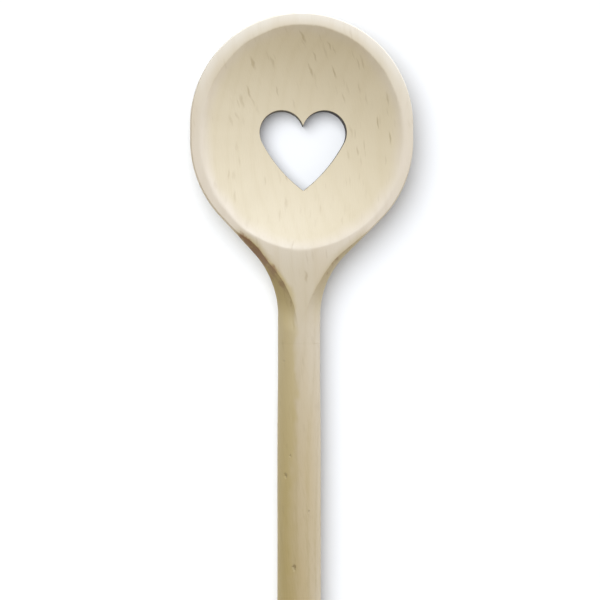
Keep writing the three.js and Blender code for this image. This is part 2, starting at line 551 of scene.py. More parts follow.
@dataclass(frozen=True)
class Nicks:
    """Tiny nicks: a few on the upper handle, and more of them well apart further down. Millimetres."""

    upper: tuple[Nick, ...] = (
        Nick(-4.5, 25.8, 1.0),
        Nick(-2.2, 1.2, 1.2),
        Nick(1.7, 16.3, 0.6),
        Nick(-4.9, 56.5, 0.6),
        Nick(-3.2, 31.2, 0.6),
    )
    size: Size = (0.5, 1.0, 4.0)
    height: float = 10.6
    bends: Clouds = Clouds((0.9, 0.9, 0.9), 1.0, swing=0.6)
    cell: Size = (3.2, 7.5, 3.2)
    edge: Run = Run(0.15, 0.0)
    along: Run = Run(-12.0, -18.0)
    across: Run = Run(3.0, 0.0)

    def show(self, site: Site) -> Signal:
        """Mark the nicks.

        Args:
            site: A point of the wood.

        Returns:
            Their depth, mostly from 0 to 1.
        """
        sheet = site.sheet
        chosen = sheet.step(site.along, self.along) * sheet.step(site.across, self.across)
        dents = sheet.step(sheet.cells(site.place, self.cell), self.edge) * chosen
        aside = sheet.node("CombineXYZ", None, {"X": sheet.sway(site.place, self.bends)})
        sized = sheet.vector("DIVIDE", sheet.vector("ADD", site.place, aside), self.size)
        for nick in self.upper:
            middle = [value / size for value, size in zip((nick.x, nick.y, self.height), self.size)]
            away = sheet.vector("DISTANCE", sized, middle, output="Value")
            depth = sheet.step(away, Run(nick.share, 0.0, nick.share))
            dents = sheet.math("MAXIMUM", dents, depth)
        return dents


@dataclass(frozen=True)
class StreakAndShade:
    """The yellow streak down the left of the handle: partly the wood's own tone and partly painted shade on
    the handle's shaded left side, softer and painted darker further down. Millimetres.
    """

    x: float = -1.5
    bend_y: float = 70.0
    bend: float = 0.045
    waves: Clouds = Clouds((4.0, 5.0, 4.0), 1.5, swing=4.0)
    edge: Run = Run(0.7, -0.9)
    soft: Run = Run(50.0, 5.0)
    soft_shift: float = 0.8
    soft_spread: float = 2.4
    # painted shade: how much darker the streak turns further down the handle
    soft_painted_shade: float = 0.14
    inner: Run = Run(-5.5, -1.5, 0.2)
    side: Run = Run(6.5, 2.5, 0.75)
    top: Run = Run(97.0, 87.0)
    least: float = 0.48
    straw_more: float = 0.3

    def show(self, site: Site, straw: Signal) -> tuple[Signal, Signal]:
        """Mark the streak and the painted shade down the handle's left.

        Args:
            site: A point of the wood.
            straw: How far the wood has turned to straw there, partly as painted shade.

        Returns:
            How yellow the wood is, partly as painted shade, and how much darker it is painted as shade.
        """
        sheet = site.sheet
        beyond = sheet.math("MAXIMUM", site.along - self.bend_y, 0.0)
        edge = site.across + beyond * beyond * self.bend + sheet.sway(site.place, self.waves)
        soft = sheet.step(site.along, self.soft)
        edge = (edge - self.x + soft * self.soft_shift) / (soft * self.soft_spread + 1.0)
        streak_and_shade = sheet.step(edge, self.edge) * sheet.step(site.along, self.top)
        streak_and_shade = streak_and_shade * (1.0 - sheet.step(site.across, self.inner))
        streak_and_shade = streak_and_shade * (1.0 - sheet.step(site.height, self.side))
        return streak_and_shade * (straw * self.straw_more + self.least), streak_and_shade * soft * self.soft_painted_shade


@dataclass(frozen=True)
class TipRim:
    """The rim at the tip: a painted highlight outside, where it rounds over toward the lamp, painted shade
    deeper at the lip, and its outermost edge left plain, without the end grain's tone or the painted shade
    below the rim, so that the lit edge stays pale. Millimetres.
    """

    centre: Size = (0.0, 120.0, 0.0)
    part: Run = Run(124.0, 136.0)
    outer: Run = Run(25.8, 29.6)
    outer_height: Run = Run(10.1, 10.6, 0.26)
    inner_height: Run = Run(10.8, 10.96, 0.2)
    edge: Run = Run(29.0, 29.6)
    edge_part: Run = Run(110.0, 125.0, 0.85)

    def show(self, site: Site) -> tuple[Signal, Signal, Signal]:
        """Mark the rim at the tip.

        Args:
            site: A point of the wood.

        Returns:
            How much painted highlight the rim has, how much painted shade, and how much of the tones of cut
            fibre and of the painted shade below the rim shows there.
        """
        sheet = site.sheet
        level = sheet.vector("MULTIPLY", site.place, (1.0, 1.0, 0.0))
        away = sheet.vector("DISTANCE", level, self.centre, output="Value")
        part, outer = sheet.step(site.along, self.part), sheet.step(away, self.outer)
        painted_light_tone = part * outer * sheet.step(site.height, self.outer_height)
        deep = part * (1.0 - outer) * sheet.step(site.height, self.inner_height)
        edge = sheet.step(away, self.edge) * sheet.step(site.along, self.edge_part)
        return painted_light_tone, deep, 1.0 - edge


@dataclass(frozen=True)
class Stain:
    """The brown blots on the neck's flanks, drawn up to the ridge further down. Millimetres."""

    blots: Clouds = Clouds((2.4, 3.6, 2.4), 3.0, 0.55, swing=1.8)
    edge: Run = Run(0.52, 0.96)
    upper: Run = Run(76.0, 86.0)
    upper_more: float = 0.35
    least: float = 0.5
    side: Run = Run(10.8, 8.8, 0.34)

    def show(self, site: Site, rubbed_and_shade: Signal) -> Signal:
        """Mark the stain.

        Args:
            site: A point of the wood.
            rubbed_and_shade: How far the wood is rubbed brown and painted with shade there.

        Returns:
            A value from 0 to 1.
        """
        sheet = site.sheet
        upper = sheet.step(site.along, self.upper)
        drawn = (1.0 - upper) * sheet.step(site.height, self.side)
        stained = sheet.step(rubbed_and_shade + sheet.sway(site.place, self.blots) - drawn, self.edge)
        return stained * (upper * self.upper_more + self.least)


class Marks(NamedTuple):
    """How strongly a pattern shows: at least, more where the wood is straw, and more on end grain."""

    least: float
    straw: float
    square: float

    def at(self, straw: Signal, square: Signal) -> Signal:
        """Return the strength where the wood is so far straw and so far cut square."""
        return square * self.square + straw * self.straw + self.least


@dataclass(frozen=True)
class Beech:
    """Bare, fine sanded beech, with its rays, growth rings, end grain and scorched cuts, and with painted
    light and shade: the bowl's lower half painted paler, the tip's rim painted lit and shaded, and
    everything below the rim's top, the handle's left side and the neck's flanks painted darker or yellower.

    Colours are linear, sizes are in millimetres and angles in radians.
    """

    cream: Colour = (0.72, 0.64, 0.50)
    blush: Colour = (0.70, 0.605, 0.455)
    # painted light: the bowl's lower half, which faces the lamp, is painted paler
    painted_light_tone: Colour = (0.79, 0.70, 0.56)
    # painted shade: a deeper yellow laid on everything below the rim's top, for the warm shade in the hollow
    # and on the flanks
    deep: Colour = (0.71, 0.615, 0.415)
    # painted highlight: the outer rim at the tip, lit by the lamp beyond it
    painted_highlight: Colour = (0.90, 0.88, 0.82)
    straw: Colour = (0.62, 0.50, 0.28)
    # the streak's yellow: partly the wood's tone, partly painted shade on the handle's left
    yellow_and_shade: Colour = (0.57, 0.46, 0.19)
    dark: Colour = (0.32, 0.23, 0.095)
    # the tone of cut fibre, also used for painted shade at the tip's rim, down the handle's left and on the
    # neck
    end_grain_and_shade: Colour = (0.41, 0.31, 0.10)
    brown: Colour = (0.25, 0.125, 0.06)
    scorched: Colour = (0.02, 0.014, 0.01)
    grain_turn: Size = (math.radians(2.0), math.radians(37.0), math.radians(-6.0))
    fibre: Clouds = Clouds((0.28, 9.0, 0.45), 3.0, 0.6)
    bands: Clouds = Clouds((6.0, 80.0, 7.0), 2.0)
    band_edge: Run = Run(0.35, 0.65)
    band_share: float = 0.7
    # where along the spoon the painted light on the bowl's lower half starts and fades out
    painted_light_heel: Run = Run(83.0, 93.0)
    painted_light_end: Run = Run(125.0, 102.0, 0.9)
    # how wavy, from which height down and from where along the spoon the painted shade below the rim is laid
    painted_shade_waves: Clouds = Clouds((7.0, 12.0, 7.0), 1.0, swing=1.2)
    painted_shade_depth: Run = Run(11.1, 9.4)
    painted_shade_foot: Run = Run(62.0, 74.0, 0.8)
    # the handle turns to straw toward its end: partly its own tone, partly painted shade where the lamp's
    # light falls off
    straw_along: Run = Run(100.0, 0.0)
    # painted light: less straw on the handle's lit right side
    painted_light_right: Run = Run(0.5, 5.0, 0.42)
    straw_least: float = 0.88
    straw_band_more: float = 0.24
    ring_gap: float = 2.7
    ring_wander: Clouds = Clouds((14.0, 60.0, 14.0), 1.0, swing=2.5)
    ring_phase: float = 0.25
    ring_marks: Marks = Marks(least=0.05, straw=0.1, square=0.4)
    fibre_marks: Marks = Marks(least=0.14, straw=0.45, square=0.9)
    square_cut: Run = Run(0.8, 0.98)
    slant_cut: Run = Run(0.15, 0.9)
    slant_most: float = 0.3
    slant_share: float = 0.65
    rubbed_and_shade_share: float = 0.95
    ray_share: float = 0.46
    # painted shade: how much darker the nicks are painted in their middle
    nick_painted_shade: float = 0.12
    scorch_patches: Clouds = Clouds((1.1, 1.1, 4.0), 2.0, swing=0.5)
    scorch_middle: float = 1.03
    fibre_relief: float = 0.02
    ray_relief: float = 0.012
    nick_relief: float = 0.36
    roughness: float = 0.5
    fibre_rougher: float = 0.2
    scorch_rougher: float = 0.2
    rays: Rays = Rays()
    nicks: Nicks = Nicks()
    streak_and_shade: StreakAndShade = StreakAndShade()
    tip: TipRim = TipRim()
    stain: Stain = Stain()

    @property
    def grain_axes(self) -> Matrix:
        """Return the grain's own axes as rows: across it, along it and outward."""
        return Euler(self.grain_turn).to_matrix()

    def material(self, name: str) -> bpy.types.Material:
        """Make the finish as a node material.

        Args:
            name: The material's name.

        Returns:
            The material.
        """
        made = bpy.data.materials.new(name)
        sheet = NodeSheet(made)
        site = Site(sheet, self.grain_axes)
        fibre = sheet.clouds(site.grain, self.fibre)
        rays, nicks = self.rays.show(site), self.nicks.show(site)
        scorch = sheet.mark(Mark.SCORCH)
        burnt = scorch * (sheet.sway(site.place, self.scorch_patches) + self.scorch_middle)
        colour = sheet.paint(
            self._tone(site, fibre),
            (rays * self.ray_share, self.dark),
            (burnt, self.scorched),
            # painted shade in the nicks
            (nicks * self.nick_painted_shade, self.dark),
        )
        relief = fibre * self.fibre_relief - rays * self.ray_relief - nicks * self.nick_relief
        bump = sheet.node("Bump", None, {"Strength": 1.0, "Distance": MM, "Height": relief})
        rough = self.roughness + (fibre - 0.5) * self.fibre_rougher + scorch * self.scorch_rougher
        inputs = {"Base Color": colour, "Roughness": rough, "Normal": bump}
        surface = sheet.node("BsdfPrincipled", None, inputs)
        sheet.node("OutputMaterial", None, {"Surface": surface})
        return made

    def _tone(self, site: Site, fibre: Signal) -> Signal:
        """Build the wood's colour without its rays.

        Args:
            site: A point of the wood.
            fibre: The fine streaks along the grain, from 0 to 1.

        Returns:
            The colour.
        """
        sheet, along = site.sheet, site.along
        bands = sheet.step(sheet.clouds(site.grain, self.bands), self.band_edge)
        # painted light: the bowl's lower half, lit by the lamp, is painted paler
        painted_light_tone = sheet.step(along, self.painted_light_heel) * sheet.step(along, self.painted_light_end)
        # painted highlight and painted shade on the tip's rim, and its plain, lit edge
        painted_tip_highlight, painted_tip_shade, plain = self.tip.show(site)
        # painted shade: below is how far a point lies under the rim's top, with a wavy edge, and it lays on
        # the deeper yellow
        layer = site.height + sheet.sway(site.place, self.painted_shade_waves)
        below = sheet.step(layer, self.painted_shade_depth) * sheet.step(along, self.painted_shade_foot)
        # the straw tone: partly painted shade toward the handle's end, and less on the lit right side as
        # painted light
        straw = sheet.step(along, self.straw_along)
        left = 1.0 - sheet.step(site.across, self.painted_light_right)
        # the streak down the handle's left: partly its tone, partly painted shade, painted darker further
        # down
        yellow_and_shade, painted_shade_darker = self.streak_and_shade.show(site, straw)

        normal = sheet.node("NewGeometry", None, None, "Normal")
        along_fibre = self.grain_axes[Way.ALONG.value]
        facing = abs(sheet.vector("DOT_PRODUCT", normal, along_fibre, output="Value"))
        square = sheet.step(facing, self.square_cut)
        slant = sheet.math("MINIMUM", sheet.step(facing, self.slant_cut), self.slant_most)
        marks = self._rings(site) * self.ring_marks.at(straw, square)
        marks = marks + (fibre - 0.5) * self.fibre_marks.at(straw, square)
        rubbed_and_shade = sheet.mark(Mark.RUBBED_AND_SHADE)
        return sheet.paint(
            self.cream,
            (bands * self.band_share, self.blush),
            (painted_light_tone, self.painted_light_tone),
            (below * plain, self.deep),
            (painted_tip_highlight, self.painted_highlight),
            (painted_tip_shade, self.end_grain_and_shade),
            (straw * left * (bands * self.straw_band_more + self.straw_least), self.straw),
            (yellow_and_shade, self.yellow_and_shade),
            (painted_shade_darker, self.end_grain_and_shade),
            (marks, self.end_grain_and_shade),
            (slant * plain * self.slant_share, self.end_grain_and_shade),
            # rubbing and painted shade: the flanks, darker on the shaded left, turn toward the end-grain
            # tone
            (rubbed_and_shade * self.rubbed_and_shade_share, self.end_grain_and_shade),
            (self.stain.show(site, rubbed_and_shade), self.brown),
        )

    def _rings(self, site: Site) -> Signal:
        """Mark the growth rings.

        Args:
            site: A point of the wood.

        Returns:
            1 in the middle of each ring and 0 between them.
        """
        sheet = site.sheet
        turns = sheet.part(site.grain, Way.OUTWARD) / self.ring_gap
        turns = turns + sheet.sway(site.grain, self.ring_wander) + self.ring_phase
        wave = sheet.math("SINE", turns * (2.0 * math.pi)) * 0.5 + 0.5
        return wave * wave * wave


@dataclass(frozen=True)
class Heart:
    """The heart-shaped hole: round lobes, and long side arcs that meet at the point. Millimetres."""

    width: float = 23.5
    height: float = 21.7
    notch: float = 4.1
    side_radius: float = 40.0

    @property
    def lobe(self) -> float:
        """Return the radius of a lobe."""
        return self.width / 2 + self.notch - math.sqrt(self.width * self.notch)

    def right_half(self, middle_y: float) -> list[Stretch]:
        """Find the right half of the heart's outline, from the notch down to the point.

        Args:
            middle_y: Where the line through the lobes' centres lies along the spoon.

        Returns:
            The lobe's arc and the side's arc.
        """
        lobe_centre = Vector((self.width / 2 - self.lobe, 0.0))
        point = Vector((0.0, self.lobe - self.height))
        to_point = point - lobe_centre
        from_lobe = self.side_radius - self.lobe
        forward = (from_lobe**2 - self.side_radius**2 + to_point.length_squared) / (2 * to_point.length)
        sideways = math.sqrt(from_lobe**2 - forward**2)
        unit = to_point.normalized()
        side_centre = lobe_centre + unit * forward + Vector((unit.y, -unit.x)) * sideways

        notch_angle = math.atan2(self.lobe - self.notch, -lobe_centre.x)
        leaving = lobe_centre - side_centre
        leave_angle = math.atan2(leaving.y, leaving.x)
        arriving = point - side_centre
        point_angle = math.atan2(arriving.y, arriving.x)
        lift = Vector((0.0, middle_y))
        return [
            Arc(lobe_centre + lift, self.lobe, notch_angle, leave_angle),
            Arc(side_centre + lift, self.side_radius, leave_angle, point_angle),
        ]


@dataclass(frozen=True)
class Station:
    """A point of the head's outline, with the inward direction and the distance to the centre line."""

    point: Vector
    inward: Vector
    reach: float
    run: float


class Rib:
    """A path across the head, seen from above, from its outline in to the heart or to the centre line."""

    STEPS = 48

    def __init__(self, station: Station, inner: Vector, settled: float) -> None:
        """Bend the path so that it leaves the outline squarely and ends at the inner point.

        Args:
            station: Where the path starts.
            inner: Where it ends.
            settled: How far the underside is fitted to the path's own length, from 0 to 1.
        """
        self.station = station
        self.settled = settled
        bend = station.point + station.inward * (inner - station.point).length * 0.5
        self._points = []
        for i in range(self.STEPS + 1):
            share = i / self.STEPS
            first, last = station.point.lerp(bend, share), bend.lerp(inner, share)
            self._points.append(first.lerp(last, share))
        self._runs = [0.0]
        for near, far in zip(self._points, self._points[1:]):
            self._runs.append(self._runs[-1] + (far - near).length)

    @property
    def length(self) -> float:
        """Return the path's length."""
        return self._runs[-1]

    def at(self, inset: float) -> Vector:
        """Find a point of the path.

        Args:
            inset: Its distance in from the outline.

        Returns:
            The point.
        """
        held = min(max(inset, 0.0), self.length)
        for i in range(self.STEPS):
            if held <= self._runs[i + 1]:
                share = (held - self._runs[i]) / (self._runs[i + 1] - self._runs[i])
                return self._points[i].lerp(self._points[i + 1], share)
        return self._points[-1]


@dataclass(frozen=True)
class Lip:
    """The hollow's lip, crisp at the tip and the heel and worn rounder at the sides. Millimetres."""

    crisp: float = 0.14
    worn: float = 0.32
    heel: Run = Run(88.0, 101.0)
    tip: Run = Run(131.0, 118.0)

    def softness(self, y: float) -> float:
        """Return how far the lip is rounded over at a place along the spoon."""
        return mix(self.crisp, self.worn, self.heel.at(y) * self.tip.at(y))


@dataclass(frozen=True)
class RubbingAndShade:
    """Where a sanding drum has rubbed the neck brown, and where the neck is painted darker as shade: across
    its flanks, which face away from the lamp, and on its top further from the lamp. Millimetres along the
    spoon, and shares.
    """

    foot: Run = Run(63.0, 83.0)
    end: Run = Run(92.5, 88.5)
    widest: float = 0.85
    ridge: float = 0.8
    ridge_reach: float = 1.6
    # painted shade: the neck's top painted darker where it lies farther from the lamp
    flat_foot: Run = Run(62.0, 71.0, 0.16)
    flat_end: Run = Run(88.0, 79.0)

    def flank(self, y: float) -> float:
        """Return how brown a flank is, with its painted shade, at a place along the spoon, from 0 to 1."""
        return self.foot.at(y) * self.end.at(y)

    def top(self, flank: float, beyond: float, y: float) -> float:
        """Find how brown the neck's top is, and how much darker it is painted as shade.

        Args:
            flank: How brown the flank next to it is, with its painted shade.
            beyond: The distance beyond the flank's ridge.
            y: The place along the spoon.

        Returns:
            A value from 0 to 1.
        """
        near = flank * self.ridge * max(1.0 - beyond / self.ridge_reach, 0.0)
        return max(near, self.flat_foot.at(y) * self.flat_end.at(y))


class Waver(NamedTuple):
    """A layer of unevenness round the hollow: how fast it changes, its share, and the level of its noise."""

    pace: float
    share: float
    level: float


@dataclass(frozen=True)
class HeadRows:
    """How finely the head is skinned: steps along its outline in millimetres, and rows across it."""

    outline_step: float = 0.7
    neck_step: float = 0.3
    edge: int = 12
    edge_last: float = 0.98
    rim: tuple[float, ...] = (0.02, 0.1, 0.2, 0.4, 0.6, 0.8, 1.0)
    lip: int = 14
    lip_band: float = 1.0
    lip_tries: int = 100
    lip_within: float = 0.7
    hollow: int = 34
    under: int = 48
    # rows under the neck over which the rubbing and its painted shade fade out
    rubbed_and_shade: int = 9
    wall: int = 6


@dataclass(frozen=True)
class Flank:
    """How one flank of the neck was sanded. Millimetres, and radians for the ridge."""

    ridge: float
    spread: float
    flatness: float
    bevel: float
    bevel_y: float
    bevel_run: float
    # how far this flank is rubbed brown and painted with shade
    rubbed_and_shade: float


@dataclass
class SpoonHead:
    """The bowl and its neck, hollowed, pierced by the heart and drilled for the tenon. Millimetres."""

    tip_y: float = 150.0
    bowl_radius: float = 30.0
    side_run: float = 4.3
    edge_round: float = 0.4
    edge_height: float = 1.8
    land_radius: float = 11.0
    underside_leanness: float = 0.5
    hollow_depth: float = 6.6
    floor_thickness: float = 4.4
    rim_tip: float = 3.3
    rim_side: float = 2.8
    rim_heel: float = 1.0
    crown: Run = Run(0.6, 1.0, 0.12)
    crown_run: float = 3.0
    heart_rise: float = 1.4
    heart_chamfer: float = 0.12
    scorch_reach: float = 0.05
    scorch_edge: float = 0.3
    scorch_foot: float = 0.92
    scorch_left: float = 0.85
    flank_angle: float = math.radians(44.0)
    neck_fillet: float = 24.0
    neck_radius: float = 5.7
    tongue_run: float = 7.5
    hewn_foot: Run = Run(0.1, 0.5)
    hewn_end: Run = Run(1.0, 0.8)
    right: Flank = Flank(
        ridge=math.radians(14.0), spread=1.3, flatness=0.15, rubbed_and_shade=0.55,
        bevel=0.55, bevel_y=84.0, bevel_run=8.0,
    )
    # the shaded left flank is rubbed and painted darker than the lit right one
    left: Flank = Flank(
        ridge=math.radians(30.0), spread=0.95, flatness=0.8, rubbed_and_shade=1.0,
        bevel=1.0, bevel_y=87.0, bevel_run=5.0,
    )
    axis_z: float = 5.9
    socket_wall: float = 1.95
    socket_depth: float = 18.6
    settled: Run = Run(0.5, 1.0)
    hollow_waver: float = 0.006
    hollow_limit: float = 0.95
    wavers: tuple[Waver, ...] = (Waver(5.0, 1.0, 0.5), Waver(13.0, 0.3, 4.5))
    heart: Heart = Heart()
    lip: Lip = Lip()
    rubbing_and_shade: RubbingAndShade = RubbingAndShade()
    rows: HeadRows = HeadRows()
    drift: Drift = Drift()

    @property
    def rim_z(self) -> float:
        """Return the height of the rim."""
        return self.floor_thickness + self.hollow_depth

    @property
    def upper_y(self) -> float:
        """Return where the centre of the bowl's upper arc lies along the spoon."""
        return self.tip_y - self.bowl_radius

    @property
    def lower_y(self) -> float:
        """Return where the centre of the bowl's lower arc lies along the spoon."""
        return self.upper_y - self.side_run

    @property
    def fillet_centre(self) -> Vector:
        """Find where the neck's fillet on the right touches both the bowl's flank and the shank.

        Returns:
            The fillet's centre.
        """
        x = self.neck_radius + self.neck_fillet
        drop = self.bowl_radius + self.neck_fillet - x * math.cos(self.flank_angle)
        return Vector((x, self.lower_y - drop / math.sin(self.flank_angle)))

    @property
    def joint_y(self) -> float:
        """Return where the neck's end face meets the handle's shoulder."""
        return self.fillet_centre.y - self.tongue_run

    @property
    def hollow_y(self) -> float:
        """Return where the middle of the hollow lies along the spoon."""
        return (self.tip_y - self.rim_tip + self.lower_y - self.bowl_radius + self.rim_heel) / 2

    @property
    def hollow_length(self) -> float:
        """Return half the hollow's length."""
        return self.tip_y - self.rim_tip - self.hollow_y

    @property
    def hollow_width(self) -> float:
        """Return half the hollow's width."""
        return self.bowl_radius - self.rim_side

    @property
    def socket_radius(self) -> float:
        """Return the radius of the socket for the tenon."""
        return self.neck_radius - self.socket_wall

    @property
    def heel_y(self) -> float:
        """Return where the middle of the neck's straight flank lies along the spoon."""
        straight_flank = self._outline()[3]
        return straight_flank.at(0.5)[0].y

    def build(self) -> bpy.types.Object:
        """Make the head's mesh.

        Returns:
            The head as an object in the scene.
        """
        ribs, heart_ribs = self._ribs()
        skin = Skin(self.drift)
        for side in Side:
            tops, walls, unders = [], [], []
            for number, rib in enumerate(ribs):
                pierced = number < heart_ribs
                top, under = self._top(rib, pierced, side), self._under(rib, pierced, side)
                tops.append(self._flip(top, side))
                unders.append(self._flip(under, side))
                if number <= heart_ribs:
                    walls.append(self._flip(self._wall(rib, top[-1], under[-1], side), side))
            for rows in (tops, walls, unders):
                skin.sheet(rows)
            self._socket(skin, tops[-1][::-1] + unders[-1][1:])
        return skin.make("spoon_head")

    def _outline(self) -> list[Stretch]:
        """Draw the right half of the outline.

        Returns:
            Its stretches, from the tip down to the joint.
        """
        upper, lower = Vector((0.0, self.upper_y)), Vector((0.0, self.lower_y))
        radius, fillet = self.bowl_radius, self.fillet_centre
        out = Vector((math.cos(self.flank_angle), -math.sin(self.flank_angle)))
        shank = Vector((self.neck_radius, fillet.y))
        return [
            Arc(upper, radius, math.pi / 2, 0.0),
            Straight(upper + Vector((radius, 0.0)), lower + Vector((radius, 0.0))),
            Arc(lower, radius, 0.0, -self.flank_angle),
            Straight(lower + out * radius, fillet - out * self.neck_fillet),
            Arc(fillet, self.neck_fillet, math.pi - self.flank_angle, math.pi),
            Straight(shank, Vector((self.neck_radius, self.joint_y))),
        ]

    def _stations(self) -> list[Station]:
        """Space stations evenly along each stretch of the outline.

        Returns:
            The stations, from the tip down to the joint.
        """
        stations: list[Station] = []
        run = 0.0
        for stretch in self._outline():
            on_neck = stretch.at(1.0)[0].y < self.lower_y - self.bowl_radius
            step = self.rows.neck_step if on_neck else self.rows.outline_step
            steps = math.ceil(stretch.length / step)
            for i in range(0 if not stations else 1, steps + 1):
                point, travel = stretch.at(i / steps)
                inward = Vector((travel.y, -travel.x))
                reach = self.bowl_radius if abs(inward.x) < TINY else -point.x / inward.x
                stations.append(Station(point, inward, reach, run + stretch.length * i / steps))
            run += stretch.length
        return stations

    def _ribs(self) -> tuple[list[Rib], int]:
        """Lay the ribs out over the head's right half.

        Returns:
            The ribs from the tip to the joint, and the number of the rib that ends at the heart's point.
        """
        stations = self._stations()
        heel = min(range(len(stations)), key=lambda i: abs(stations[i].point.y - self.heel_y))
        lobe, flank = self.heart.right_half(self.hollow_y + self.heart_rise)
        heart_length = lobe.length + flank.length
        spines = [station.point.y + station.inward.y * station.reach for station in stations]
        point_y = flank.at(1.0)[0].y
        ribs = []
        for number, station in enumerate(stations):
            share = station.run / stations[heel].run
            if number <= heel:
                run = heart_length * share
                beyond = (run - lobe.length) / flank.length
                inner = lobe.at(run / lobe.length)[0] if beyond < 0 else flank.at(min(beyond, 1.0))[0]
                if number in (0, heel):
                    inner.x = 0.0
            else:
                fade = (len(stations) - 1 - number) / (len(stations) - 1 - heel)
                inner = Vector((0.0, spines[number] + (point_y - spines[heel]) * fade))
            ribs.append(Rib(station, inner, self.settled.at(share)))
        return ribs, heel

    def _along(self, station: Station) -> float:
        """Return 0 at the joint, 1 from the heel of the bowl on, and a share of the way between them."""
        return keep((station.point.y - self.joint_y) / (self.heel_y - self.joint_y))

    def _heights(self, station: Station) -> tuple[float, float]:
        """Find the heights of a rib.

        Args:
            station: Where the rib starts.

        Returns:
            The heights of its flat top and of its widest line.
        """
        eased = ease(self._along(station))
        top = mix(self.axis_z + self.neck_radius, self.rim_z, eased)
        return top, mix(self.axis_z, self.rim_z - self.edge_height, eased)

    def _hollow(self, point: Vector, side: Side) -> float:
        """Find the height of the hollow's surface, carried on above the rim.

        Args:
            point: A point of the right half, seen from above.
            side: The side it is wanted for.

        Returns:
            The height, a little uneven round the hollow, as a hand leaves it.
        """
        ball = (self.hollow_length**2 + self.hollow_depth**2) / (2 * self.hollow_depth)
        away = Vector((point.x * self.hollow_length / self.hollow_width, point.y - self.hollow_y))
        way = away.normalized()
        uneven = 0.0
        for layer in self.wavers:
            spot = Vector((way.x * side.value * layer.pace, way.y * layer.pace, layer.level))
            uneven += layer.share * noise.noise(spot)
        reach = min(away.length * (1.0 + self.hollow_waver * uneven), self.hollow_limit * ball)
        return self.floor_thickness + ball - math.sqrt(ball**2 - reach**2)

    def _crown(self, station: Station, beyond: float) -> float:
        """Return how far the rim has sunk below its crown at a distance in from its edge."""
        left = max(1.0 - beyond / self.crown_run, 0.0)
        return self.crown.at(self._along(station)) * left * left

    def _flank(self, side: Side) -> Flank:
        """Return the neck's flank on a side."""
        return self.right if side is Side.RIGHT else self.left

    def _rubbed_and_shade(self, station: Station, side: Side) -> float:
        """Return how brown the sanding drum has rubbed the neck's flank at a station, with the painted shade
        laid there too, from 0 to 1.
        """
        return self._flank(side).rubbed_and_shade * self.rubbing_and_shade.flank(station.point.y)

    def _top(self, rib: Rib, pierced: bool, side: Side) -> list[Spot]:
        """Trace a rib's upper side.

        Args:
            rib: The rib.
            pierced: Whether the rib ends at the heart.
            side: The side it is wanted for.

        Returns:
            Points from the widest line, over the edge and the rim, to the rib's inner end.
        """
        station = rib.station
        along = self._along(station)
        top_z, widest_z = self._heights(station)
        flank = self._flank(side)
        inset = mix(self.edge_round, self.neck_radius, (1.0 - ease(along)) ** flank.spread)
        inset += flank.bevel * ease(1.0 - abs(station.point.y - flank.bevel_y) / flank.bevel_run)
        sunk = self._crown(station, 0.0)
        hewn = self.hewn_foot.at(along) * self.hewn_end.at(along)
        turn = math.pi / 2 - flank.ridge * hewn - 2.0 * sunk / self.crown_run
        climb = top_z - sunk - widest_z
        run, rise = inset / (1.0 - math.cos(turn)), climb / math.sin(turn)

        # how far the flank here is rubbed brown and painted with shade
        rubbed_and_shade = self._rubbed_and_shade(station, side)
        flatness = hewn * flank.flatness
        rows = self.rows
        spots = []
        for share in [*(i / rows.edge for i in range(rows.edge)), rows.edge_last, 1.0]:
            angle = turn * share
            distance = run * (1.0 - math.cos(angle))
            point = rib.at(distance)
            height = widest_z + mix(rise * math.sin(angle), climb * distance / inset, flatness)
            brown = rubbed_and_shade * mix(self.rubbing_and_shade.widest, 1.0, share)
            spots.append(Spot(point.x, point.y, height, rubbed_and_shade=brown))

        chamfer, fade = (self.heart_chamfer, self.scorch_reach) if pierced else (0.0, 0.0)
        last = rib.length - chamfer
        lip = self._lip(rib, inset, mix(inset, last, rows.lip_within), top_z, side)
        near = lip - min(rows.lip_band, (lip - inset) / 2)
        far = lip + min(rows.lip_band, (last - lip) / 2)
        insets = [mix(inset, near, share) for share in rows.rim]
        insets += [mix(near, far, (i + 1) / rows.lip) for i in range(rows.lip)]
        insets += [mix(far, last - fade, (i + 1) / rows.hollow) for i in range(rows.hollow)]
        for distance in [*insets, last]:
            point = rib.at(distance)
            flat = top_z - self._crown(station, distance - inset)
            height = soft_lower(flat, self._hollow(point, side), self.lip.softness(point.y))
            brown = self.rubbing_and_shade.top(rubbed_and_shade, distance - inset, point.y)
            scorch = self._burnt(self.scorch_edge, side) if pierced and distance == last else 0.0
            spots.append(Spot(point.x, point.y, height, scorch, brown))
        return spots

    def _lip(self, rib: Rib, first: float, last: float, top_z: float, side: Side) -> float:
        """Find where a rib goes over the hollow's lip.

        Args:
            rib: The rib.
            first: The distance in from the outline where the search starts.
            last: The distance where it ends.
            top_z: The height of the rib's flat top.
            side: The side it is wanted for.

        Returns:
            The distance, or the last one if the rib never goes over the lip.
        """
        for i in range(self.rows.lip_tries + 1):
            distance = mix(first, last, i / self.rows.lip_tries)
            if self._hollow(rib.at(distance), side) < top_z:
                return distance
        return last

    def _under(self, rib: Rib, pierced: bool, side: Side) -> list[Spot]:
        """Trace a rib's underside.

        Args:
            rib: The rib.
            pierced: Whether the rib ends at the heart.
            side: The side it is wanted for.

        Returns:
            Points from the widest line down and in to the rib's inner end.
        """
        station = rib.station
        spread = keep((station.reach - self.neck_radius) / (self.bowl_radius - self.neck_radius))
        _, widest_z = self._heights(station)
        bottom_z = mix(self.axis_z - self.neck_radius, 0.0, spread)
        run = station.reach - self.land_radius * spread
        run *= mix(1.0, rib.length / station.reach, rib.settled)
        power = 1.0 + self.underside_leanness * spread

        last = rib.length - (self.heart_chamfer if pierced else 0.0)
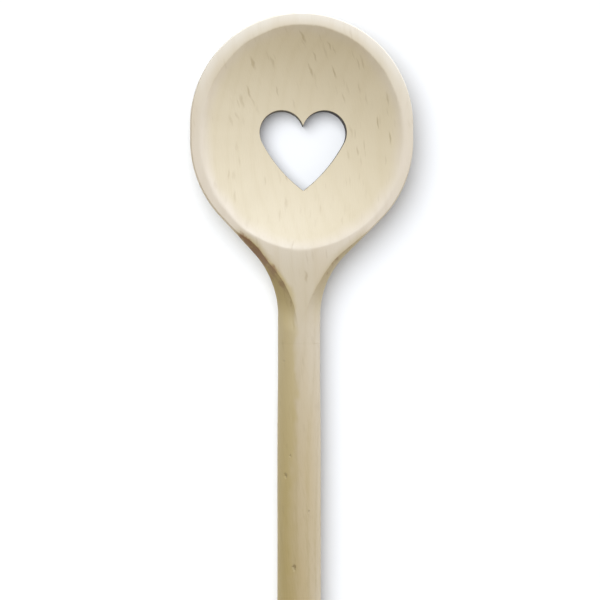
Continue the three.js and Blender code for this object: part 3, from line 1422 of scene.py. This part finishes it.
        # how far the flank here is rubbed brown and painted with shade, fading under the neck
        rubbed_and_shade = self._rubbed_and_shade(station, side)
        spots = []
        for i in range(self.rows.under + 1):
            distance = last * (1.0 - math.cos(math.pi / 2 * i / self.rows.under))
            level = max(1.0 - distance / run, 0.0)
            drop = (widest_z - bottom_z) * math.sqrt(1.0 - level * level) ** power
            point = rib.at(distance)
            at_heart = pierced and i == self.rows.under
            scorch = self._burnt(self.scorch_foot, side) if at_heart else 0.0
            brown = rubbed_and_shade * mix(self.rubbing_and_shade.widest, 0.0, min(i / self.rows.rubbed_and_shade, 1.0))
            spots.append(Spot(point.x, point.y, widest_z - drop, scorch, brown))
        return spots

    def _burnt(self, share: float, side: Side) -> float:
        """Return how far a spot by the heart is scorched, which is less on the left."""
        return share if side is Side.RIGHT else share * self.scorch_left

    def _wall(self, rib: Rib, top: Spot, under: Spot, side: Side) -> list[Spot]:
        """Trace the heart's wall at the end of a rib.

        Args:
            rib: The rib.
            top: The rib's last point on the hollow.
            under: Its last point on the underside.
            side: The side it is wanted for.

        Returns:
            Points from the hollow down to the underside.
        """
        point = rib.at(rib.length)
        high, low = top.z - self.heart_chamfer, under.z + self.heart_chamfer
        wall = []
        for i in range(self.rows.wall + 1):
            share = i / self.rows.wall
            scorch = self._burnt(mix(1.0, self.scorch_foot, share), side)
            wall.append(Spot(*point, mix(high, low, share), scorch))
        return [top, *wall, under]

    def _socket(self, skin: Skin, rim: Sequence[Spot]) -> None:
        """Close one half of the neck's end with its face and the socket.

        Args:
            skin: The head's skin.
            rim: The half circle round the end face, from the top to the bottom.
        """
        mouth, deep = [], []
        for spot in rim:
            out = Vector((spot.x, spot.z - self.axis_z)).normalized() * self.socket_radius
            mouth.append(Spot(out.x, self.joint_y, self.axis_z + out.y))
            deep.append(Spot(out.x, self.joint_y + self.socket_depth, self.axis_z + out.y))
        middle = Spot(0.0, self.joint_y + self.socket_depth, self.axis_z)
        skin.sheet([rim, mouth, deep, [middle] * len(rim)])

    @staticmethod
    def _flip(spots: Sequence[Spot], side: Side) -> list[Spot]:
        """Return points of the right half on the side asked for."""
        return [spot._replace(x=spot.x * side.value) for spot in spots]

    def dress(self, piece: bpy.types.Object, finish: bpy.types.Material) -> None:
        """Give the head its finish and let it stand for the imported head.

        Args:
            piece: The head.
            finish: The wood.
        """
        piece.data.materials.append(finish)
        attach(piece, "root")
        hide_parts("bowl_head")


@dataclass
class SpoonHandle:
    """The turned handle, with a tenon that fills the socket in the neck. Millimetres."""

    joint_y: float
    neck_radius: float
    axis_z: float
    socket_radius: float
    end_y: float = -150.0
    radius: float = 5.9
    swell: float = 25.0
    end_round: float = 2.8
    tenon_length: float = 18.0
    tenon_chamfer: float = 0.8
    glue_gap: float = 0.2
    shoulder_chamfer: float = 0.04
    waver: float = 0.1
    waver_pace: float = 1.6
    waver_length: float = 22.0
    waver_fade: float = 10.0
    sides: int = 128
    end_rows: int = 12
    ring_step: float = 1.0
    drift: Drift = Drift()

    @property
    def tenon_radius(self) -> float:
        """Return the radius of the tenon, which leaves room for glue in the socket."""
        return self.socket_radius - self.glue_gap

    def build(self) -> bpy.types.Object:
        """Make the handle's mesh.

        Returns:
            The handle as an object in the scene.
        """
        skin = Skin(self.drift)
        skin.sheet([self._ring(*ring) for ring in self._profile()])
        return skin.make("spoon_handle")

    def _profile(self) -> list[tuple[float, float, float]]:
        """Find the rings of the handle.

        Returns:
            The radius, the place along the spoon and the waver of each ring, from the end up to the tenon.
        """
        flat = self.radius - self.end_round
        profile = [(0.0, self.end_y, 0.0), (flat * 0.5, self.end_y, 0.0), (flat, self.end_y, 0.0)]
        for i in range(1, self.end_rows + 1):
            angle = math.pi / 2 * i / self.end_rows
            bulge, rise = self.end_round * math.sin(angle), self.end_round * (1.0 - math.cos(angle))
            profile.append((flat + bulge, self.end_y + rise, i / self.end_rows))
        first, last = self.end_y + self.end_round, self.joint_y - self.shoulder_chamfer
        steps = math.ceil((last - first) / self.ring_step)
        for i in range(1, steps + 1):
            y = mix(first, last, i / steps)
            grown = ease((self.joint_y - y) / self.swell)
            fade = ease((last - y) / self.waver_fade)
            profile.append((mix(self.neck_radius, self.radius, grown), y, fade))
        top = self.joint_y + self.tenon_length
        profile += [
            (self.neck_radius - self.shoulder_chamfer, self.joint_y, 0.0),
            (self.tenon_radius, self.joint_y, 0.0),
            (self.tenon_radius, top - self.tenon_chamfer, 0.0),
            (self.tenon_radius - self.tenon_chamfer, top, 0.0),
            (0.0, top, 0.0),
        ]
        return profile

    def _ring(self, radius: float, y: float, waver: float) -> list[Spot]:
        """Trace a ring of the handle.

        Args:
            radius: The ring's radius.
            y: Where it lies along the spoon.
            waver: How much of the hand sanding shows on it, from 0 to 1.

        Returns:
            Points round the ring, ending where they start.
        """
        ring = []
        for i in range(self.sides + 1):
            angle = 2.0 * math.pi * (i % self.sides) / self.sides
            x, z = math.sin(angle), math.cos(angle)
            spot = Vector((x * self.waver_pace, y / self.waver_length, z * self.waver_pace))
            worn = keep(noise.noise(spot) * 0.5 + 0.5)
            held = radius - self.waver * waver * worn
            ring.append(Spot(x * held, y, self.axis_z + z * held))
        return ring

    def dress(self, piece: bpy.types.Object, finish: bpy.types.Material) -> None:
        """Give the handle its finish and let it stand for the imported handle.

        Args:
            piece: The handle.
            finish: The wood.
        """
        piece.data.materials.append(finish)
        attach(piece, "root")
        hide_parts("handle")


@dataclass
class Studio:
    """The floor, the light and the camera. Metres, and degrees for angles."""

    look_at: Size = (-0.0006, 0.0729, 0.011)
    camera_height: float = 0.6
    camera_side: float = -0.03
    camera_near: float = 0.01
    view_width: float = 0.1607
    sensor: float = 36.0
    floor_size: float = 2.4
    floor_z: float = -0.00005
    floor_colour: Colour = (0.61, 0.625, 0.64)
    floor_glow: float = 0.03
    left_light: Colour = (0.25, 0.19, 0.05)
    left_part: Run = Run(-1.0, -0.35)
    main_light: Colour = (0.58, 0.55, 0.52)
    right_light: Colour = (0.54, 0.525, 0.565)
    right_part: Run = Run(0.1, 0.9)
    key_place: Size = (0.06, 0.44, 0.20)
    key_aim: Size = (0.0, 0.09, 0.008)
    key_size: float = 0.26
    key_power: float = 1.53
    key_colour: Colour = (0.93, 1.03, 1.21)
    floor_sun: float = 3.85
    floor_sun_place: Size = (0.0, 0.0, 1.0)
    floor_sun_colour: Colour = (1.0, 1.02, 1.06)
    floor_sun_turn: tuple[float, float] = (-15.0, -18.0)
    floor_sun_softness: float = 56.0

    def build(self, pieces: Sequence[bpy.types.Object]) -> None:
        """Set up everything around the object.

        Args:
            pieces: The object's own pieces.
        """
        floor = self._floor()
        self._world()
        self._lamps(pieces, floor)
        self._camera()
        bpy.context.scene.view_settings.view_transform = "Standard"

    def _floor(self) -> bpy.types.Object:
        """Lay a plain white floor.

        Returns:
            The floor.
        """
        mesh = bpy.data.meshes.new("floor")
        half = self.floor_size / 2
        corners = [(-half, -half), (half, -half), (half, half), (-half, half)]
        mesh.from_pydata([(*corner, self.floor_z) for corner in corners], [], [(0, 1, 2, 3)])
        floor = put("floor", mesh)

        material = bpy.data.materials.new("white_floor")
        sheet = NodeSheet(material)
        paint = sheet.node("BsdfDiffuse", None, {"Color": (*self.floor_colour, 1.0)})
        glow = sheet.node("Emission", None, {"Color": (1.0, 1.0, 1.0, 1.0), "Strength": self.floor_glow})
        white = sheet.node("AddShader", None, {0: paint, 1: glow})
        surface = sheet.node("MixShader", None, {0: sheet.seen(), 1: paint, 2: white})
        sheet.node("OutputMaterial", None, {"Surface": surface})
        mesh.materials.append(material)
        return floor

    def _world(self) -> None:
        """Surround the object with soft light, warmer from the left, and show white where nothing stands."""
        world = bpy.data.worlds.new("studio")
        bpy.context.scene.world = world
        sheet = NodeSheet(world)
        toward = sheet.node("TexCoord", None, None, "Generated")
        aside = sheet.part(toward, Way.ACROSS)
        colour = sheet.paint(
            self.left_light,
            (sheet.step(aside, self.left_part), self.main_light),
            (sheet.step(aside, self.right_part), self.right_light),
        )
        light = sheet.node("Background", None, {"Color": colour, "Strength": 1.0})
        white = sheet.node("Background", None, {"Color": (1.0, 1.0, 1.0, 1.0), "Strength": 1.0})
        surface = sheet.node("MixShader", None, {0: sheet.seen(), 1: light, 2: white})
        sheet.node("OutputWorld", None, {"Surface": surface})

    def _lamps(self, pieces: Sequence[bpy.types.Object], floor: bpy.types.Object) -> None:
        """Hang a soft lamp beyond the bowl for the spoon, and a high one for its shadow on the floor.

        Args:
            pieces: The object's own pieces.
            floor: The floor.
        """
        key = bpy.data.lights.new("window", "AREA")
        key.shape = "DISK"
        key.size = self.key_size
        key.energy = self.key_power
        key.color = self.key_colour
        lamp = put(key.name, key)
        lamp.location = self.key_place
        aim = Vector(self.key_aim) - lamp.location
        lamp.rotation_euler = aim.to_track_quat("-Z", "Y").to_euler()
        self._only(lamp, pieces)

        sun = bpy.data.lights.new("floor_sun", "SUN")
        sun.energy = self.floor_sun
        sun.color = self.floor_sun_colour
        sun.angle = math.radians(self.floor_sun_softness)
        high = put(sun.name, sun)
        high.location = self.floor_sun_place
        tilt_x, tilt_y = (math.radians(angle) for angle in self.floor_sun_turn)
        high.rotation_euler = (tilt_x, tilt_y, 0.0)
        self._only(high, [floor])

    @staticmethod
    def _only(lamp: bpy.types.Object, lit: Sequence[bpy.types.Object]) -> None:
        """Keep a lamp's light to some objects.

        Args:
            lamp: The lamp.
            lit: The objects that it lights.
        """
        group = bpy.data.collections.new("lit_by_" + lamp.name)
        for piece in lit:
            group.objects.link(piece)
        lamp.light_linking.receiver_collection = group

    def _camera(self) -> None:
        """Put the camera above the spoon, a little to its left."""
        lens = bpy.data.cameras.new("camera")
        lens.sensor_width = self.sensor
        target = Vector(self.look_at)
        place = target + Vector((self.camera_side, 0.0, self.camera_height))
        lens.lens = self.sensor * (target - place).length / self.view_width
        lens.clip_start = self.camera_near
        camera = put("camera", lens)
        camera.location = place
        lean = math.atan2(self.camera_side, self.camera_height)
        camera.rotation_euler = (0.0, lean, 0.0)
        bpy.context.scene.camera = camera


def note_sizes() -> None:
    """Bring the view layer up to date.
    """
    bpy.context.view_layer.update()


def main() -> None:
    """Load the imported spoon, build and dress its pieces, and set up the studio."""
    logging.basicConfig(level=logging.INFO, format="%(name)s: %(message)s")
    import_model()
    finish = Beech().material("beech")

    head = SpoonHead()
    head_piece = head.build()
    head.dress(head_piece, finish)
    LOG.info("head: %d faces", len(head_piece.data.polygons))

    handle = SpoonHandle(head.joint_y, head.neck_radius, head.axis_z, head.socket_radius)
    handle_piece = handle.build()
    handle.dress(handle_piece, finish)
    LOG.info("handle: %d faces", len(handle_piece.data.polygons))

    Studio().build([head_piece, handle_piece])
    note_sizes()


if __name__ == "__main__":
    main()
